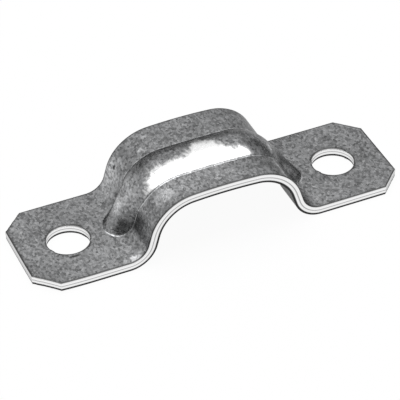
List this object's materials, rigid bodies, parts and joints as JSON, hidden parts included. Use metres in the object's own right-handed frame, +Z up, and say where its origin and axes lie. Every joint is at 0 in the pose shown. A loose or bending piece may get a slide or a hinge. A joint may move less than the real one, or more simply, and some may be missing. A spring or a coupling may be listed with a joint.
{
  "type": "conduit strap",
  "caption": "Pressed sheet-steel strap with a flat-topped saddle, a raised stiffening rib and a screw hole in each clipped-corner foot.",
  "frame": {"origin": "middle of the strap, on the plane its two feet stand on", "axes": "+X along the strip from foot to foot, +Y across the strip along the conduit, +Z up out of the mounting surface"},
  "size_m": [0.062, 0.019, 0.0121],
  "materials": {
    "galvanised_steel": "zinc-coated steel sheet with a fine spangle, slightly dulled, bright on its sheared edges"
  },
  "bodies": {
    "root": {"strap": "galvanised_steel"}
  },
  "joints": []
}
